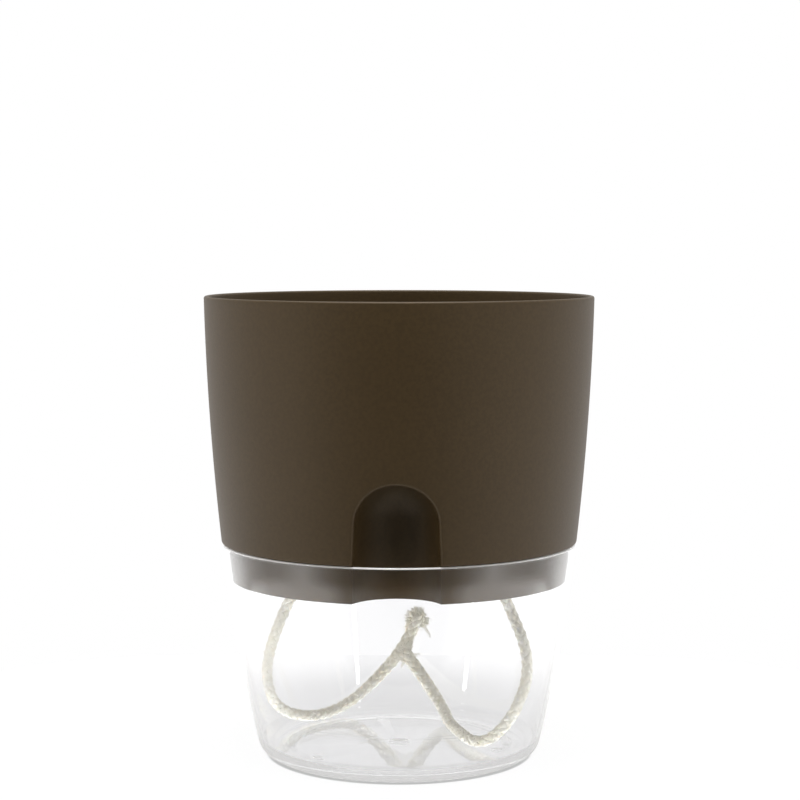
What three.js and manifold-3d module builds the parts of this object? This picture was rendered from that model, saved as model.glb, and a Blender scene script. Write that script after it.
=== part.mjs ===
// A self-watering cachepot: a brown planter nests in a clear water tank, and a cotton wick joins the two.
// Millimetres, +Z up. The origin lies on the ground under the middle of the tank, and the filling
// niche in the planter's wall faces -Y.

import * as THREE from 'three';
import { mergeVertices } from 'three/addons/utils/BufferGeometryUtils.js';
import Module from 'manifold-3d';

// Water tank: a clear tapered cup
const tankHeight = 72.1;
const tankRimRadius = 59.5;
const tankTaper = 12.85; // the rim's radius less that of the side carried on down to the ground
const tankSideSwell = 1.2; // how far the side bows out of a straight cone
const tankWall = 1.5;
const tankFloor = 2.4;
const tankFootFillet = 6.3;
const tankCornerFillet = 4.8; // inside, between the side and the floor
const tankRimRound = 0.5;
const standRingWidth = 3.6; // the ring that the tank stands on, around its recessed underside
const standRingHeight = 0.8;
const standRingSlope = 1; // width of the slope from the ring up to the recess

// Moulding marks under the tank's floor: three pads level with the standing ring, and the gate
const padCount = 3;
const padRadius = 2;
const padInset = 3.2; // from the standing ring's inner edge to the pads' centres
const padTurn = THREE.MathUtils.degToRad(100.75); // where the first pad lies, from +X
const gateRadius = 3.5;
const gateHeight = 0.5;

// Planter pot: it stands on the tank's rim by its shoulder, with a spigot inside the tank
const potHeight = 82.15; // from the shoulder to the lip
const potFlare = 5.4; // the mouth's radius less the shoulder's
const potSideSwell = 0.9;
const potWall = 1.5;
const potFloor = 1.8;
const potFloorFillet = 2.5;
const shoulderOverhang = 0.3; // the shoulder's radius less the tank rim's
const spigotDepth = 12.55;
const spigotEdgeRound = 0.8;
const seatGap = 0.45; // between the shoulder and the tank's rim
const spigotGap = 0.4; // between the spigot and the tank's side

// Filling niche: a half-round channel with a domed head, moulded into the front of the pot
const nicheReach = 58.3; // from the pot's axis to the niche's own axis
const nicheRadius = 13.1; // at the springing of the arch
const nicheSpringing = 12.85; // height of the springing above the shoulder
const nicheDraft = THREE.MathUtils.degToRad(2.85); // the channel widens downwards
const nicheWall = 1.5;
const nicheEdgeRound = 0.9; // rounding of the niche's edge on the pot's outside

// Cotton wick: one rope through two holes in the pot's floor, both tails hanging into the tank
const wickDiameter = 4;
const wickHoleSpacing = 68;
const wickHoleGap = 0.5; // around the rope in its holes
const wickRestGap = 0.3; // under the rope where it lies, and between its stretches
const wickBend = 6; // radius of the bends over the holes
const wickRise = 1; // how far the rope stands straight up out of the holes
const wickDrop = 2.4; // and how far its tails run straight down
const bridgeSag = 3.5; // the bends run down to the floor over this many bend radii

// Facets
const turnSteps = 72; // around the tank and the pot
const nicheSteps = 40;
const holeSteps = 16;
const sideSteps = 8; // along the bowed sides of the tank and the pot
const spigotSteps = 2; // along the short side of the spigot
const roundSteps = 4; // along a fillet or a rounded edge
const domeSteps = 8;
const archSteps = 20; // along each half of the niche's edge
const wickSides = 10;
const tailStep = 8; // length of one facet along the wick's tails
const bridgeStep = 3; // and along its stretch inside the pot, which bends more tightly

// Places that follow from the sizes
const shoulderZ = tankHeight + seatGap;
const lipZ = shoulderZ + potHeight;
const spigotZ = shoulderZ - spigotDepth;
const potFloorZ = spigotZ + potFloor;
const tankFloorZ = standRingHeight + tankFloor;
const shoulderRadius = tankRimRadius + shoulderOverhang;
const nicheSpringZ = shoulderZ + nicheSpringing;
const wickRadius = wickDiameter / 2;
const wickHoleX = wickHoleSpacing / 2;
const wickHoleRadius = wickRadius + wickHoleGap;

// The tails' centre lines below their holes, from just under the pot's floor to their frayed ends
const leftTail = [
  [-35.5, -0.2, 54.6],
  [-38.2, 0.5, 49.5],
  [-40.8, 1.5, 43.5],
  [-43.3, 3.4, 36.9],
  [-45.2, 5.4, 30.3],
  [-45.9, 6.9, 24.4],
  [-45.3, 8.6, 18.3],
  [-43.2, 12.6, 12.8],
  [-38.9, 19, 8.2],
  [-32, 25.3, 5.7],
  [-24, 33.4, 5.8],
  [-17.5, 40.6, 8],
  [-11.9, 43.7, 12.1],
  [-6.1, 45.9, 17.6],
  [-1.4, 47.4, 22.8],
  [3, 48.5, 29.6],
  [6.4, 49.7, 37],
];
const rightTail = [
  [34.9, 0.3, 54.8],
  [36.6, -0.3, 51],
  [38.9, -1.5, 45.7],
  [40.8, -3.5, 41.3],
  [42.4, -5.9, 36.3],
  [43, -8.4, 31.4],
  [42.3, -11.4, 25.9],
  [40.1, -14, 20.4],
  [37.1, -15, 14.9],
  [33.2, -14.2, 9.9],
  [29.3, -13, 6.8],
  [25.2, -9.8, 5.7],
  [21.5, -0.6, 5.7],
  [17.6, 15.1, 5.8],
  [14.1, 27.5, 7.3],
  [9.8, 35.6, 11.3],
  [5.5, 40.1, 17.7],
  [1.1, 42.6, 25.2],
];

const wasm = await Module();
wasm.setup();

const potMaterial = new THREE.MeshStandardMaterial({ color: 0x4a3c2e, roughness: 0.6, metalness: 0 });
const tankMaterial = new THREE.MeshStandardMaterial({
  color: 0xf2f4f4,
  roughness: 0.05,
  metalness: 0,
  transparent: true,
  opacity: 0.3,
});
const wickMaterial = new THREE.MeshStandardMaterial({ color: 0xd9d2c0, roughness: 0.9, metalness: 0 });

// Outside radius of the tank's side at a height above the ground
function tankSide(z) {
  const t = z / tankHeight;
  const straight = tankRimRadius - tankTaper * (1 - t);
  return straight + 4 * tankSideSwell * t * (1 - t);
}

// Outside radius of the pot's side at a height between its shoulder and its lip
function potSide(z) {
  const t = (z - shoulderZ) / potHeight;
  return shoulderRadius + potFlare * t + 4 * potSideSwell * t * (1 - t);
}

// Outside radius of the spigot, which runs inside the tank's side
function spigotSide(z) {
  return tankSide(z) - tankWall - spigotGap;
}

// Points of a side from one height to another, both included
function along(side, fromZ, toZ, steps = sideSteps) {
  const points = [];
  for (let i = 0; i <= steps; i += 1) {
    const z = THREE.MathUtils.lerp(fromZ, toZ, i / steps);
    points.push(new THREE.Vector2(side(z), z));
  }
  return points;
}

// Points of an arc in the profile's plane, both ends included
function arc(centreR, centreZ, radius, fromAngle, toAngle, steps = roundSteps) {
  const points = [];
  for (let i = 0; i <= steps; i += 1) {
    const angle = THREE.MathUtils.lerp(fromAngle, toAngle, i / steps);
    points.push(new THREE.Vector2(centreR + radius * Math.cos(angle), centreZ + radius * Math.sin(angle)));
  }
  return points;
}

// How far the tank's side leans outwards near the ground
function footLean() {
  return Math.atan2(tankSide(tankFootFillet) - tankSide(0), tankFootFillet);
}

// A profile that starts and ends on the axis, turned about +Z
function turned(profile, steps) {
  const geometry = new THREE.LatheGeometry(profile, steps);
  geometry.rotateX(Math.PI / 2);
  return geometry;
}

// The bare shape of a geometry, with shared vertices merged and no collapsed triangles
function welded(geometry) {
  const bare = geometry.clone();
  bare.deleteAttribute('normal');
  bare.deleteAttribute('uv');
  const merged = mergeVertices(bare);
  const index = merged.index.array;
  const triangles = [];
  for (let i = 0; i < index.length; i += 3) {
    const [a, b, c] = [index[i], index[i + 1], index[i + 2]];
    if (a !== b && b !== c && c !== a) triangles.push(a, b, c);
  }
  merged.setIndex(triangles);
  return merged;
}

// A closed solid for cutting and joining
function solidOf(geometry) {
  const shape = welded(geometry);
  return new wasm.Manifold(new wasm.Mesh({
    numProp: 3,
    vertProperties: new Float32Array(shape.attributes.position.array),
    triVerts: new Uint32Array(shape.index.array),
  }));
}

function geometryOf(solid) {
  const mesh = solid.getMesh();
  const geometry = new THREE.BufferGeometry();
  geometry.setAttribute('position', new THREE.BufferAttribute(new Float32Array(mesh.vertProperties), 3));
  geometry.setIndex(new THREE.BufferAttribute(new Uint32Array(mesh.triVerts), 1));
  const shape = welded(geometry);
  shape.computeVertexNormals();
  return shape;
}

// An upright round bar between two heights
function bar(radius, fromZ, toZ, x, y, steps) {
  const geometry = new THREE.CylinderGeometry(radius, radius, toZ - fromZ, steps);
  geometry.rotateX(Math.PI / 2);
  geometry.translate(x, y, (fromZ + toZ) / 2);
  return solidOf(geometry);
}

function waterTank() {
  const lean = footLean();
  const footCentreR = tankSide(tankFootFillet) - tankFootFillet / Math.cos(lean);
  const footTopZ = tankFootFillet * (1 - Math.sin(lean));
  const ringInnerR = footCentreR - standRingWidth;
  const cornerZ = tankFloorZ + tankCornerFillet;
  const cornerR = tankSide(cornerZ) - (tankWall + tankCornerFillet) / Math.cos(lean);
  const cornerTopZ = cornerZ - tankCornerFillet * Math.sin(lean);
  const inner = (z) => tankSide(z) - tankWall;
  const rimZ = tankHeight - tankRimRound;
  const profile = [
    new THREE.Vector2(0, standRingHeight),
    new THREE.Vector2(ringInnerR - standRingSlope, standRingHeight),
    new THREE.Vector2(ringInnerR, 0),
    ...arc(footCentreR, tankFootFillet, tankFootFillet, -Math.PI / 2, -lean),
    ...along(tankSide, footTopZ, rimZ).slice(1),
    ...arc(tankSide(rimZ) - tankRimRound, rimZ, tankRimRound, 0, Math.PI / 2).slice(1),
    ...arc(inner(rimZ) + tankRimRound, rimZ, tankRimRound, Math.PI / 2, Math.PI),
    ...along(inner, rimZ, cornerTopZ).slice(1, -1),
    ...arc(cornerR, cornerZ, tankCornerFillet, -lean, -Math.PI / 2),
    new THREE.Vector2(0, tankFloorZ),
  ];
  let tank = solidOf(turned(profile, turnSteps));
  const padReach = ringInnerR - padInset;
  const floorMiddleZ = standRingHeight + tankFloor / 2;
  for (let i = 0; i < padCount; i += 1) {
    const angle = padTurn + (i / padCount) * 2 * Math.PI;
    const x = padReach * Math.cos(angle);
    const y = padReach * Math.sin(angle);
    tank = tank.add(bar(padRadius, 0, floorMiddleZ, x, y, holeSteps));
  }
  return tank.add(bar(gateRadius, standRingHeight - gateHeight, floorMiddleZ, 0, 0, holeSteps));
}

// The niche's own round body, from a height up to its domed head, made larger all round by grown
function nicheBody(fromZ, grown) {
  const radius = nicheRadius + grown;
  const footRadius = radius + (nicheSpringZ - fromZ) * Math.tan(nicheDraft);
  const profile = [
    new THREE.Vector2(0, fromZ),
    new THREE.Vector2(footRadius, fromZ),
    ...arc(0, nicheSpringZ, radius, 0, Math.PI / 2, domeSteps).slice(0, -1),
    new THREE.Vector2(0, nicheSpringZ + radius),
  ];
  const geometry = turned(profile, nicheSteps);
  geometry.translate(0, -nicheReach, 0);
  return solidOf(geometry);
}

// Radius of the niche's own round body at a height
function nicheRadiusAt(z) {
  if (z <= nicheSpringZ) return nicheRadius + (nicheSpringZ - z) * Math.tan(nicheDraft);
  return Math.sqrt(Math.max(0, nicheRadius ** 2 - (z - nicheSpringZ) ** 2));
}

// Height at which the top of the niche's dome comes out through the pot's side
function archTopZ() {
  let [low, high] = [nicheSpringZ, nicheSpringZ + nicheRadius];
  for (let i = 0; i < 40; i += 1) {
    const middle = (low + high) / 2;
    if (nicheRadiusAt(middle) > Math.abs(potSide(middle) - nicheReach)) low = middle;
    else high = middle;
  }
  return low;
}

// Points of the niche's edge on the pot's side, from one foot over the top to the other
function archLine(footZ) {
  const topZ = archTopZ();
  const half = [];
  for (let i = 0; i <= archSteps; i += 1) {
    const z = THREE.MathUtils.lerp(footZ, topZ, Math.sin((i / archSteps) * (Math.PI / 2)));
    const wall = potSide(z);
    const y = (nicheRadiusAt(z) ** 2 - wall ** 2 - nicheReach ** 2) / (2 * nicheReach);
    half.push(new THREE.Vector3(Math.sqrt(Math.max(0, wall ** 2 - y ** 2)), y, z));
  }
  const other = half.slice(0, -1).map((p) => new THREE.Vector3(-p.x, p.y, p.z)).reverse();
  return [...half, ...other];
}

// What rounding the niche's edge takes away at one point of it: an outline across the edge. It starts at
// the corner outside the pot, runs in over the pot's side, round the edge and out through the niche.
function edgeOutline(point) {
  const lean = (potSide(point.z + 1) - potSide(point.z - 1)) / 2;
  const wall = new THREE.Vector3(point.x, point.y, 0).normalize();
  wall.setZ(-lean).normalize();
  const dome = Math.max(0, point.z - nicheSpringZ);
  const niche = new THREE.Vector3(point.x, point.y + nicheReach, dome).normalize();
  const overWall = niche.clone().addScaledVector(wall, -niche.dot(wall)).normalize();
  const overNiche = niche.clone().multiplyScalar(niche.dot(wall)).sub(wall).normalize();
  const half = overWall.angleTo(overNiche) / 2;
  const reach = nicheEdgeRound / Math.tan(half);
  const inward = overWall.clone().add(overNiche).normalize();
  const centre = point.clone().addScaledVector(inward, nicheEdgeRound / Math.sin(half));
  const wallEnd = point.clone().addScaledVector(overWall, reach);
  const nicheEnd = point.clone().addScaledVector(overNiche, reach);
  const start = wallEnd.clone().sub(centre);
  const axis = start.clone().cross(nicheEnd.clone().sub(centre)).normalize();
  const outline = [
    point.clone().addScaledVector(wall, nicheEdgeRound).addScaledVector(niche, -nicheEdgeRound),
    wallEnd.clone().addScaledVector(wall, nicheEdgeRound),
  ];
  for (let i = 0; i <= roundSteps; i += 1) {
    const turn = (i / roundSteps) * (Math.PI - 2 * half);
    outline.push(start.clone().applyAxisAngle(axis, turn).add(centre));
  }
  outline.push(nicheEnd.clone().addScaledVector(niche, -nicheEdgeRound));
  return outline;
}

// A curved bar along the niche's edge that rounds it when it is cut away
function edgeCutter() {
  const rings = archLine(shoulderZ - 2 * nicheEdgeRound).map(edgeOutline);
  const sides = rings[0].length;
  const index = [];
  for (let i = 0; i + 1 < rings.length; i += 1) {
    for (let j = 0; j < sides; j += 1) {
      const a = i * sides + j;
      const b = i * sides + ((j + 1) % sides);
      index.push(a, b, a + sides, b, b + sides, a + sides);
    }
  }
  const last = (rings.length - 1) * sides;
  for (let j = 1; j + 1 < sides; j += 1) {
    index.push(0, j + 1, j);
    index.push(last, last + j, last + j + 1);
  }
  const geometry = new THREE.BufferGeometry().setFromPoints(rings.flat());
  geometry.setIndex(index);
  return solidOf(geometry);
}

// The pot's outer skin drawn in by inset, from the floor up to the lip, filled solid
function potBlank(inset) {
  const profile = [
    new THREE.Vector2(0, spigotZ + inset),
    ...along((z) => spigotSide(z) - inset, spigotZ + inset, shoulderZ + inset, spigotSteps),
    ...along((z) => potSide(z) - inset, shoulderZ + inset, lipZ),
    new THREE.Vector2(0, lipZ),
  ];
  return solidOf(turned(profile, turnSteps));
}

function potShell() {
  const lipRound = potWall / 2;
  const lipCentreZ = lipZ - lipRound;
  const spigotInner = (z) => spigotSide(z) - potWall;
  const potInner = (z) => potSide(z) - potWall;
  const edgeZ = spigotZ + spigotEdgeRound;
  const filletZ = potFloorZ + potFloorFillet;
  const profile = [
    new THREE.Vector2(0, spigotZ),
    ...arc(spigotSide(edgeZ) - spigotEdgeRound, edgeZ, spigotEdgeRound, -Math.PI / 2, 0),
    ...along(spigotSide, edgeZ, shoulderZ, spigotSteps).slice(1),
    ...along(potSide, shoulderZ, lipCentreZ),
    ...arc(potSide(lipCentreZ) - lipRound, lipCentreZ, lipRound, 0, Math.PI, 2 * roundSteps).slice(1),
    ...along(potInner, lipCentreZ, shoulderZ + potWall).slice(1),
    ...along(spigotInner, shoulderZ, filletZ, spigotSteps),
    ...arc(spigotInner(filletZ) - potFloorFillet, filletZ, potFloorFillet, 0, -Math.PI / 2).slice(1),
    new THREE.Vector2(0, potFloorZ),
  ];
  return solidOf(turned(profile, turnSteps));
}

function planterPot() {
  const belowZ = spigotZ - potFloor;
  const channelWall = nicheBody(spigotZ + potFloor / 2, nicheWall).intersect(potBlank(potWall / 2));
  let pot = potShell().add(channelWall).subtract(nicheBody(belowZ, 0)).subtract(edgeCutter());
  for (const x of [-wickHoleX, wickHoleX]) {
    pot = pot.subtract(bar(wickHoleRadius, belowZ, potFloorZ + potFloorFillet, x, 0, holeSteps));
  }
  return pot;
}

// A plain round tube along a rope's centre line
function rope(points, facetLength) {
  const curve = new THREE.CatmullRomCurve3(points, false, 'centripetal');
  const section = new THREE.Shape();
  for (let i = 0; i < wickSides; i += 1) {
    const angle = (i / wickSides) * 2 * Math.PI;
    const [u, v] = [wickRadius * Math.cos(angle), wickRadius * Math.sin(angle)];
    if (i === 0) section.moveTo(u, v);
    else section.lineTo(u, v);
  }
  section.closePath();
  const steps = Math.max(2, Math.round(curve.getLength() / facetLength));
  return new THREE.ExtrudeGeometry(section, { steps, extrudePath: curve, bevelEnabled: false });
}

// The stretch inside the pot: up out of one hole, over onto the floor, across and down the other hole
function wickBridge() {
  const bendZ = potFloorZ + wickRise;
  const restZ = potFloorZ + wickRestGap + wickRadius;
  const landX = wickHoleX - bridgeSag * wickBend;
  const half = [new THREE.Vector3(wickHoleX, 0, spigotZ)];
  for (const angle of [0, 30, 60, 90, 120]) {
    const turn = THREE.MathUtils.degToRad(angle);
    half.push(new THREE.Vector3(
      wickHoleX - wickBend + wickBend * Math.cos(turn),
      0,
      bendZ + wickBend * Math.sin(turn),
    ));
  }
  half.push(new THREE.Vector3(landX, 0, restZ));
  const other = half.map((p) => new THREE.Vector3(-p.x, p.y, p.z)).reverse();
  return rope([...half, new THREE.Vector3(0, 0, restZ), ...other], bridgeStep);
}

function wickTail(side, route) {
  const start = new THREE.Vector3(side * wickHoleX, 0, spigotZ - wickRestGap);
  const drop = start.clone().setZ(start.z - wickDrop);
  return rope([start, drop, ...route.map((p) => new THREE.Vector3(...p))], tailStep);
}

const cachepot = new THREE.Group();

function addPart(name, geometry, material) {
  const mesh = new THREE.Mesh(geometry, material);
  mesh.name = name;
  cachepot.add(mesh);
}

addPart('water_tank', geometryOf(waterTank()), tankMaterial);
addPart('planter_pot', geometryOf(planterPot()), potMaterial);
addPart('wick_bridge', wickBridge(), wickMaterial);
addPart('wick_tail_left', wickTail(-1, leftTail), wickMaterial);
addPart('wick_tail_right', wickTail(1, rightTail), wickMaterial);

export default cachepot;
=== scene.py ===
"""A self-watering cachepot: a brown planter nests in a clear water tank, with a cotton wick between them.

Metres, +Z up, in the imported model's frame: the ground is z = 0, and the filling niche faces -Y.
"""

import math
import random

import bpy
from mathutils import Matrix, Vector


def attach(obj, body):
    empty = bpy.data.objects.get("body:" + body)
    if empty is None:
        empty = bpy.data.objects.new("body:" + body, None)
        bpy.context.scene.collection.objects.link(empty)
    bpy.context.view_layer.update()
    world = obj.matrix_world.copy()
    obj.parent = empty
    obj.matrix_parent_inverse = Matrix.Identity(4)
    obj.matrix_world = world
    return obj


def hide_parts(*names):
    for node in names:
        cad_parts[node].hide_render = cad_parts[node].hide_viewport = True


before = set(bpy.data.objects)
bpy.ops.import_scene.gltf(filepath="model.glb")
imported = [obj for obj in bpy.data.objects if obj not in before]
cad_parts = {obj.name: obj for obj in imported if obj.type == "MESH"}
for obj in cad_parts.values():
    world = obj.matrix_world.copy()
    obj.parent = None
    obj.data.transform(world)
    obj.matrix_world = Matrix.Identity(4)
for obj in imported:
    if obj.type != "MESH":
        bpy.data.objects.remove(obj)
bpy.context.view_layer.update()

MM = 0.001

# Water tank
TANK_HEIGHT = 72.1 * MM
TANK_RIM_RADIUS = 59.5 * MM
TANK_TAPER = 12.85 * MM
TANK_SIDE_SWELL = 1.2 * MM
TANK_WALL = 1.5 * MM
TANK_FLOOR = 2.4 * MM
TANK_FOOT_FILLET = 6.3 * MM
TANK_CORNER_FILLET = 4.8 * MM
TANK_RIM_ROUND = 0.5 * MM
STAND_RING_WIDTH = 3.6 * MM
STAND_RING_HEIGHT = 0.8 * MM
STAND_RING_SLOPE = 3 * MM
STAND_RING_ROUND = 6 * MM
PAD_COUNT = 3
PAD_RADIUS = 2 * MM
PAD_HEIGHT = 0.5 * MM
PAD_INSET = 3.2 * MM
PAD_TURN = 100.75  # degrees from +X to the first pad
GATE_RADIUS = 3.5 * MM
GATE_HEIGHT = 0.5 * MM
SINK_DEPTH = 0.11  # of a mark's radius, in the floor's top over it

# Planter pot
POT_HEIGHT = 82.15 * MM
POT_FLARE = 5.4 * MM
POT_SIDE_SWELL = 0.9 * MM
POT_WALL = 1.5 * MM
POT_FLOOR = 1.8 * MM
POT_FLOOR_FILLET = 2.5 * MM
POT_LEDGE_ROUND = 0.8 * MM
SHOULDER_OVERHANG = 0.3 * MM
SHOULDER_ROUND = 0.3 * MM
SPIGOT_DEPTH = 12.55 * MM
SPIGOT_EDGE_ROUND = 0.8 * MM
SEAT_GAP = 0.45 * MM
SPIGOT_GAP = 0.4 * MM
LIP_ROUND = 0.74 * MM

# Filling niche
NICHE_REACH = 58.3 * MM
NICHE_RADIUS = 13.1 * MM
NICHE_SPRINGING = 12.85 * MM
NICHE_DRAFT = math.radians(2.85)
NICHE_WALL = 1.5 * MM
NICHE_EDGE_ROUND = 0.9 * MM

# Cotton wick
WICK_DIAMETER = 4 * MM
WICK_HOLE_SPACING = 68 * MM
WICK_HOLE_GAP = 0.5 * MM
WICK_REST_GAP = 0.3 * MM
WICK_BEND = 6 * MM
WICK_RISE = 1 * MM
WICK_DROP = 2.4 * MM
BRIDGE_SAG = 3.5  # bends, from a hole to where the wick lies on the pot's floor
BRIDGE_TURN = (0, 30, 60, 90, 120)  # degrees round its bend over a hole's edge
CORE_RADIUS = 1.15 * MM
PLAIT_LENGTH = 13 * MM  # in which one strand goes once round the core
STRAND_PAIRS = 4  # as many strands go one way round as the other
STRAND_REACH = 1.22 * MM  # from the rope's middle to the middle of a strand
STRAND_WEAVE = 0.26 * MM  # how far the strands go in and out
STRAND_WIDTH = 0.9 * MM  # half of a strand's width
STRAND_THICKNESS = 0.5 * MM  # half of its thickness
STRAND_WAVES = ((0.06, 1.9 * MM), (0.05, 0.83 * MM))  # uneven by this share, a radian in this length
YARNS_IN_STRAND = 6
YARN_DEPTH = 0.06  # of the strand's thickness
YARN_TWIST = 0.9 * MM  # the length in which a strand's yarns turn by a radian
LOOSE_LENGTH = 40 * MM  # the last stretch of a tail, in which the plait gets looser
LOOSE_RUN = 0.7  # the share of it in which the plait swells
LOOSE_SWELL = 0.17  # by this share
OPEN_LENGTH = 5 * MM  # the end of it, where the strands come apart
OPEN_REACH = 0.5 * MM  # and how far apart

# Places that follow from the sizes
SHOULDER_Z = TANK_HEIGHT + SEAT_GAP
LIP_Z = SHOULDER_Z + POT_HEIGHT
SPIGOT_Z = SHOULDER_Z - SPIGOT_DEPTH
POT_FLOOR_Z = SPIGOT_Z + POT_FLOOR
TANK_FLOOR_Z = STAND_RING_HEIGHT + TANK_FLOOR
SHOULDER_RADIUS = TANK_RIM_RADIUS + SHOULDER_OVERHANG
NICHE_SPRING_Z = SHOULDER_Z + NICHE_SPRINGING
WICK_HOLE_X = WICK_HOLE_SPACING / 2
WICK_HOLE_RADIUS = WICK_DIAMETER / 2 + WICK_HOLE_GAP

# The tails' centre lines below their holes, in millimetres
LEFT_TAIL = (
    (-35.5, -0.2, 54.6), (-38.2, 0.5, 49.5), (-40.8, 1.5, 43.5), (-43.3, 3.4, 36.9), (-45.2, 5.4, 30.3),
    (-45.9, 6.9, 24.4), (-45.3, 8.6, 18.3), (-43.2, 12.6, 12.8), (-38.9, 19, 8.2), (-32, 25.3, 5.7),
    (-24, 33.4, 5.8), (-17.5, 40.6, 8), (-11.9, 43.7, 12.1), (-6.1, 45.9, 17.6), (-1.4, 47.4, 22.8),
    (3, 48.5, 29.6), (6.4, 49.7, 37),
)
RIGHT_TAIL = (
    (34.9, 0.3, 54.8), (36.6, -0.3, 51), (38.9, -1.5, 45.7), (40.8, -3.5, 41.3), (42.4, -5.9, 36.3),
    (43, -8.4, 31.4), (42.3, -11.4, 25.9), (40.1, -14, 20.4), (37.1, -15, 14.9), (33.2, -14.2, 9.9),
    (29.3, -13, 6.8), (25.2, -9.8, 5.7), (21.5, -0.6, 5.7), (17.6, 15.1, 5.8), (15.5, 27.5, 7.3),
    (12.1, 35.6, 11.3), (7.2, 40.1, 17.7), (1.1, 42.6, 25.2),
)

# Loose fibres that stand off the wick, in millimetres
FUZZ_START = 1.6  # from the wick's middle
FUZZ_LIFT = (0.3, 1.1)
FUZZ_RUN = (0.6, 1.9)
FUZZ_RADIUS = (0.025, 0.045)
FUZZ_LEAN = (-1, 1)  # share of the run that goes along the wick
FUZZ_SWAY = (-0.8, 0.8)  # and round it
FUZZ_CURL = 2.2  # radians of the sine by which it lifts
TAIL_FUZZ = 500  # how many a tail has
BRIDGE_FUZZ = 200

# The outline of each frayed end's brush of loose yarns, in millimetres from the wick's end
LEFT_BRUSH = (
    (-5.2, -1, -5), (-4.9, -1.1, -3.2), (-4.9, -1.1, -1), (-4.2, -1, 1.2), (-2.2, -0.9, 3),
    (-0.2, -0.9, 3.4), (1.6, -1, 3.2), (2.7, -1.2, 1), (4.3, -1.5, -1.6), (3.4, -1.6, -3.6),
    (0.8, -1.6, -4.4),
)
RIGHT_BRUSH = (
    (2.4, -1, 0.4), (3.2, -1, 2.6), (3, -1, 4.4), (1.4, -1.2, 4), (-0.4, -1.4, 3.4),
    (-2.2, -1.4, 2.4), (-3.4, -1.6, 0.8), (-4, -1.8, -1.2), (-3, -2, -2.8), (-1.2, -2, -3.2),
)
# Thin wisps that hang out of it: where each one turns and where it ends
LEFT_WISPS = (((3.2, -1.4, -3.4), (4.2, -1.8, -7.6)),)
RIGHT_WISPS = (((-0.8, -1.8, -3), (-0.6, -2.2, -5.4)), ((4, -0.8, 0), (6, -1, -0.8)))
BRUSH_HEART = (0, -1.2, -0.8)  # the yarns spread from here to the outline
BRUSH_ROOTS = (2, 16)  # they start this many rings before the wick's end
ROOT_SPREAD = (-1.3, 1.3)  # and this far to its sides
BRUSH_STRAY = 0.3
BRUSH_YARNS = 320
BRUSH_FIBRES = 220
WISP_FIBRES = 14
FIBRE_TAPER = 0.7  # the share of its thickness that a fibre loses towards its end
FIBRE_RADIUS = 0.1 * MM  # what is thicker is a yarn
# Radius, taper, and the shares of the way out at which it bends and ends
LOOSE_YARN = ((0.2, 0.34), 0.4, 0.4, (0.35, 1))
LOOSE_FIBRE = ((0.05, 0.1), FIBRE_TAPER, 0.5, (0.8, 1.2))

# Seeds of the random draws
LEFT_SEED = 11
RIGHT_SEED = 23
BRIDGE_SEED = 31

# Smoothness of the meshes
TURN_STEPS = 256
NICHE_STEPS = 128
SIDE_STEPS = 24
ROUND_STEPS = 8
ARCH_STEPS = 72
ARCH_HALVINGS = 40  # in the search for the top of the niche's edge
ROUTE_STEPS = 24  # between two points of the wick's route
RING_SPACING = 0.4 * MM
STRAND_SIDES = 14
YARN_SIDES = 8
FIBRE_SIDES = 3
FUZZ_STEPS = 4
BRUSH_STEPS = 8
WELD_DISTANCE = 0.001 * MM  # points closer than this are one
POT_SMOOTHING = 30  # degrees
TANK_SMOOTHING = 8

# Camera
LENS_LENGTH = 91.9  # millimetres, as the sensor's width is
SENSOR_WIDTH = 36
CAMERA_PLACE = (0.00926, -0.68464, 0.1757)
CAMERA_TILT = 4.688  # degrees down
CAMERA_TURN = 0.75  # degrees to the left

# The world's light from the camera's side, the two sides and the back
WORLD_FRONT = 0.05
WORLD_SIDE = 0.6
WORLD_BACK = 1.0
FRONT_TO_SIDE = (-0.85, -0.4)  # the y of a direction, from where one light ends to where the next is full
SIDE_TO_BACK = (-0.3, 0.4)
# The lit table as the plastic mirrors it: the light at each y of a direction, far from the pot and near it
TABLE_FAR = (
    (-0.92, 0.03), (-0.86, 0.2), (-0.75, 0.25), (-0.6, 0.8), (-0.39, 2.0), (-0.16, 1.2), (0.1, 0.85),
    (0.4, 1.0), (0.65, 1.5),
)
TABLE_NEAR = (
    (-0.92, 0.2), (-0.86, 0.6), (-0.75, 0.65), (-0.6, 2.0), (-0.16, 2.2), (0.1, 2.0), (0.4, 2.7),
)
TABLE_EDGE_Y = (-0.913, 0.4)  # between these y of a direction, the near part begins at these z
TABLE_EDGE_Z = (-0.4, -0.288)
TABLE_EDGE_BLUR = 0.022
ROOM_TO_TABLE = (-0.12, -0.27)  # the z of a direction, from the room down to the table
TABLE_SHADE = 0.25  # share of the table's light that is left straight under the pot
TABLE_TO_SHADE = (-0.5, -0.9)
SEEN_WHITE = 1.0
SEEN_THROUGH_TANK = 1.12  # makes up for what the tank's two walls reflect away
SEEN_FROM_FRONT = (0.5, 0.85)  # the y of a direction that leads on through the tank to the white
SEEN_FROM_BACK = (-0.2, -0.5)
UNMIRRORED_STEPS = 1.5  # steps of a ray that aren't refractions: without a mirror only one, the world itself

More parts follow.
